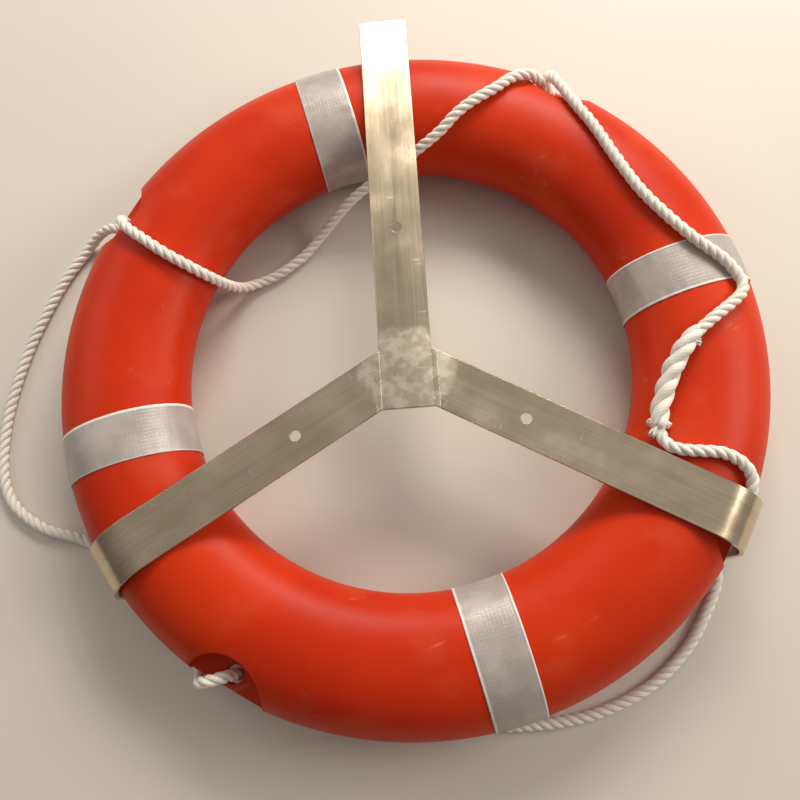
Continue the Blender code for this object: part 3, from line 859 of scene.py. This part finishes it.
def moulded_plastic(name, base, scuffed, dark):
    """Orange-red moulded plastic: fine orange peel, pale scuffs, duller rubbed patches, a parting line."""
    finish = Finish(name, IOR=1.45, Specular_IOR_Level=0.22)
    x, y, z = finish.axes()
    mottle = finish.noise(7.0, 3.0)
    patch_place = finish.vector(x + y * 0.35, y - x * 0.2, z * 2.0)
    patches = finish.ease(finish.noise(16.0, 3.0, patch_place), 0.52, 0.74)
    lines = finish.noise(95.0, 5.0, finish.vector(x * 0.12 + y * 0.05, y - x * 0.4, z))
    scratches = finish.ease(lines, 0.635, 0.69) * patches
    specks = finish.ease(finish.cells(210.0), 0.10, 0.03) * finish.ease(finish.noise(30.0), 0.54, 0.66)
    worn = (scratches * 0.5 + patches * 0.10 + specks * 0.35).least(1.0)
    colour = finish.blend(finish.ease(mottle, 0.30, 0.72), dark, base)
    colour = finish.blend(worn, colour, scuffed)
    parting_line = finish.ease((z - MID_HEIGHT).size(), 0.0009, 0.0004)
    peel = finish.noise(420.0, 2.0) * 0.6 + finish.noise(60.0, 2.0)
    height = peel * 0.00012 - scratches * 0.00012 - specks * 0.00015 + parting_line * 0.0004
    roughness = 0.36 + mottle * 0.10 + patches * 0.12 + scratches * 0.12
    finish.feed(Base_Color=colour, Roughness=roughness, Normal=finish.bump(height, finish.soft_edges(0.0025)))
    return finish.material


def retroreflective_film():
    """Silver-grey film: small sealed cells in rows, a bright sealed border at each edge, creases and grime.

    The map goes round the tube along its first direction. Its second goes across the outer face in its first
    half and back under the tape in its second, so only the first half tells how far the middle line is.
    """
    silver, pale_silver, cell_edge = (0.43, 0.378, 0.350), (0.53, 0.472, 0.445), (0.66, 0.64, 0.64)
    dirt, dark_line, sealed = (0.36, 0.32, 0.29), (0.36, 0.34, 0.35), (0.86, 0.85, 0.84)
    finish = Finish("reflective_film", IOR=1.5)
    around, across, _ = finish.surface_map()
    side = (across * 2.0 - 0.5).size() * 2.0
    on_face = across < 0.5
    border = finish.ease(side, 0.885, 0.93) * on_face
    inner_line = finish.ease((side - 0.83).size(), 0.016, 0.006) * on_face
    cell_place = finish.vector(around * 105.0, across * 28.0, 0.0)
    mesh_lines = finish.ease(finish.cells(1.0, cell_place, "DISTANCE_TO_EDGE", 0.0), 0.10, 0.02)
    cloud = finish.noise(38.0, 4.0)
    grime = finish.ease(finish.noise(85.0, 5.0), 0.54, 0.78)
    colour = finish.blend(finish.ease(cloud, 0.3, 0.7), silver, pale_silver)
    colour = finish.blend(mesh_lines * 0.12, colour, cell_edge)
    colour = finish.blend(grime * 0.22, colour, dirt)
    colour = finish.blend(inner_line * 0.35, colour, dark_line)
    colour = finish.blend(border * 0.85, colour, sealed)
    height = mesh_lines * 0.00006 + finish.noise(140.0, 2.0) * 0.0001 - border * 0.0001
    finish.feed(Base_Color=colour, Roughness=0.30 + cloud * 0.16 + border * 0.1, Metallic=0.25 - border * 0.2,
                Normal=finish.bump(height))
    return finish.material


def laid_fibre():
    """Cream rope: fine yarns leaning across each strand, painted shade in the grooves between strands, grey
    handling marks.

    The yarns are sines of a sum of the map's two directions, so they run slantwise round the strand.
    """
    shaded_yarn, bright_yarn = (0.80, 0.75, 0.65), (0.95, 0.92, 0.85)
    soiled, painted_groove_shade = (0.62, 0.55, 0.45), (0.30, 0.22, 0.15)
    finish = Finish("rope_fibre", IOR=1.4, Sheen_Weight=0.25, Sheen_Roughness=0.5)
    along, around, _ = finish.surface_map()
    yarns = ((around * 9.0 - along * 120.0) * FULL_TURN).sine() * 0.5 + 0.5
    threads = ((around * 30.0 - along * 420.0) * FULL_TURN).sine() * 0.5 + 0.5
    # Painted shade: each strand is darkened to a dark brown where it turns in towards the rope's middle and
    # the grooves between strands.
    shade_between_strands = finish.ease((around - 0.5).size() * 2.0, 0.66, 0.36)
    soil = finish.ease(finish.noise(17.0, 5.0), 0.42, 0.75)
    colour = finish.blend(yarns * 0.6 + threads * 0.4, shaded_yarn, bright_yarn)
    colour = finish.blend(soil * 0.2, colour, soiled)
    colour = finish.blend(shade_between_strands * 0.75, colour, painted_groove_shade)
    height = yarns * 0.00014 + threads * 0.00005 + finish.noise(900.0, 2.0) * 0.00008
    finish.feed(Base_Color=colour, Roughness=0.78 + soil * 0.12, Normal=finish.bump(height))
    return finish.material


def grinding(finish, x, y, z):
    """Marks of a grinding disc, as fine noise drawn out to one side, and the same mixed with blotches."""
    marks = finish.noise(1.0, 3.0, finish.vector(x * 900.0 + y * 500.0, y * 60.0 - x * 40.0, z * 40.0))
    blotches = finish.ease(finish.noise(75.0, 3.0), 0.40, 0.62)
    return marks, (marks * 0.4 + blotches * 0.6).least(1.0)


def brushed_bar(name, turn):
    """Stainless flat bar: grain along the bar, scratches, smears, and a patch ground crosswise about the hub.
    Its colours are the steel's own tone tinted warm beige, a painted reflection of a warm room.

    The grain is noise stretched along the bar's own direction and its leg, and fine across it.
    """
    # Partly painted reflection: these steel and ground colours are tinted warm beige, as if reflecting a warm
    # room, on top of the steel's own tone.
    steel, pale_steel, scratched = (0.56, 0.45, 0.315), (0.72, 0.60, 0.445), (0.80, 0.79, 0.77)
    ground_steel, pale_ground = (0.47, 0.385, 0.28), (0.88, 0.80, 0.67)
    finish = Finish(name, Anisotropic=0.35)
    x, y, z = finish.axes()
    cosine, sine = float(np.cos(np.radians(turn))), float(np.sin(np.radians(turn)))
    from_hub = y - HUB_Y
    along = x * cosine + from_hub * sine
    across = from_hub * cosine - x * sine
    grain = finish.noise(1.0, 3.0, finish.vector(along * 14.0, across * 1500.0, z * 14.0))
    bands = finish.noise(1.0, 2.0, finish.vector(along * 5.0, across * 210.0, z * 5.0))
    nicks = finish.noise(1.0, 4.0, finish.vector(along * 260.0, across * 34.0, z * 30.0))
    scratches = finish.ease(nicks, 0.66, 0.72)
    smear = finish.noise(22.0, 4.0)
    below_hub = from_hub + 0.006
    near_hub = (x * x + below_hub * below_hub).root()
    ground = finish.ease(near_hub + finish.noise(55.0, 3.0) * 0.030, 0.064, 0.055)
    swirl, patchy = grinding(finish, x, from_hub, z)
    shade = grain * 0.30 + bands * 0.22 + smear * 0.48
    colour = finish.blend(finish.ease(shade, 0.36, 0.64), steel, pale_steel)
    colour = finish.blend(ground * 0.75, colour, finish.blend(patchy, ground_steel, pale_ground))
    colour = finish.blend(scratches * 0.35, colour, scratched)
    height = (grain * 0.00005 + bands * 0.00004) * (1.0 - ground) + swirl * ground * 0.0001
    roughness = 0.17 + grain * 0.08 + ground * 0.14 + finish.ease(smear, 0.45, 0.75) * 0.08 + scratches * 0.05
    finish.feed(Base_Color=colour, Metallic=1.0, Roughness=roughness,
                Normal=finish.bump(height, finish.soft_edges(0.0005)))
    return finish.material


def ground_weld():
    """Weld metal ground flush: cross-cut grinding marks, small pits, a straw tint."""
    weld, pale_weld, pit = (0.48, 0.39, 0.28), (0.78, 0.69, 0.55), (0.20, 0.17, 0.14)
    finish = Finish("ground_weld_metal")
    marks, patchy = grinding(finish, *finish.axes())
    pits = finish.ease(finish.cells(330.0), 0.22, 0.08) * finish.ease(finish.noise(90.0), 0.5, 0.6)
    colour = finish.blend(patchy, weld, pale_weld)
    colour = finish.blend(pits * 0.7, colour, pit)
    finish.feed(Base_Color=colour, Metallic=1.0, Roughness=0.28 + marks * 0.12,
                Normal=finish.bump(marks * 0.0001 - pits * 0.0003))
    return finish.material


def poured_foam():
    """Pale yellow closed-cell foam, seen only through the port if its plug is out."""
    shaded_cell_middle, foam = (0.60, 0.52, 0.36), (0.86, 0.79, 0.62)
    finish = Finish("foam_cells", IOR=1.3)
    # Painted shade: each cell's middle, which the bump sinks in, is darkened.
    cell = finish.cells(700.0)
    colour = finish.blend(finish.ease(cell, 0.1, 0.6), shaded_cell_middle, foam)
    finish.feed(Base_Color=colour, Roughness=0.9 - cell * 0.1, Normal=finish.bump(cell * 0.0006))
    return finish.material


def floor_finish():
    """Plain pale warm floor with barely any pattern."""
    finish = Finish("pale_floor")
    colour = finish.blend(finish.noise(3.0, 3.0), (0.66, 0.61, 0.54), (0.69, 0.64, 0.57))
    finish.feed(Base_Color=colour, Roughness=0.6 + finish.noise(8.0) * 0.05)
    return finish.material


def dress(obj, material):
    """Puts one material in every slot of a piece."""
    if not obj.material_slots:
        obj.data.materials.append(material)
    for slot in obj.material_slots:
        slot.material = material


def make_floor():
    """A square floor at the height that the ring lies on."""
    half = FLOOR_HALF
    corners = [(-half, -half, 0.0), (half, -half, 0.0), (half, half, 0.0), (-half, half, 0.0)]
    mesh = bpy.data.meshes.new("floor")
    mesh.from_pydata(corners, [], [(0, 1, 2, 3)])
    floor = bpy.data.objects.new("floor", mesh)
    bpy.context.scene.collection.objects.link(floor)
    dress(floor, floor_finish())


def soft_lamp(name, place, target, size, power, colour):
    """A rectangular soft lamp that faces a point. Its third axis is the way back from that point."""
    lamp = bpy.data.lights.new(name, "AREA")
    lamp.shape = "RECTANGLE"
    lamp.size, lamp.size_y = size
    lamp.energy = power
    lamp.color = colour
    obj = bpy.data.objects.new(name, lamp)
    back = unit(np.array(place) - np.array(target))
    right = unit(np.cross([0.0, 0.0, 1.0], back))
    axes = np.stack([right, np.cross(back, right), back], axis=1).tolist()
    obj.matrix_world = Matrix([(*row, at) for row, at in zip(axes, place)] + [(0.0, 0.0, 0.0, 1.0)])
    bpy.context.scene.collection.objects.link(obj)


def make_light():
    """Warm windows beyond the upright, to the right and to the left, and a pale room, darkest nearby."""
    for name, settings in LAMPS.items():
        soft_lamp(name, *settings)
    world = bpy.data.worlds.new("room")
    world.use_nodes = True
    tree = world.node_tree
    facing = tree.nodes.new("ShaderNodeTexCoord").outputs["Generated"]
    split = tree.nodes.new("ShaderNodeSeparateXYZ")
    connect(tree, split.inputs["Vector"], facing)
    x, y, z = (Number(tree, output) for output in split.outputs)
    bright = (0.25 + x * 0.10 + y * 0.12 + z.size() * 0.14).most(0.07)
    background = tree.nodes["Background"]
    background.inputs["Color"].default_value = ROOM_COLOUR
    connect(tree, background.inputs["Strength"], bright)
    bpy.context.scene.world = world
    bpy.context.scene.view_settings.view_transform = "Standard"


place_camera()
rope_pieces = make_rope()
shell_piece = make_shell()
arm_pieces = make_arms()
weld_pieces = make_welds()
tape_pieces = make_tapes()

rope_finish = laid_fibre()
for piece in rope_pieces:
    dress(piece, rope_finish)
tape_finish = retroreflective_film()
for piece in tape_pieces:
    dress(piece, tape_finish)

dress(shell_piece, moulded_plastic("moulded_shell", *SHELL_COLOURS))
dress(nodes["filler_plug"], moulded_plastic("moulded_plug", *PLUG_COLOURS))
dress(nodes["foam_core"], poured_foam())
dress(nodes["bracket_upright"], brushed_bar("brushed_upright", UPRIGHT_TURN))
for side, piece in zip(ARM_TURN, arm_pieces):
    dress(piece, brushed_bar(f"brushed_arm_{side}", ARM_TURN[side]))
weld_finish = ground_weld()
for piece in weld_pieces:
    dress(piece, weld_finish)

make_floor()
make_light()
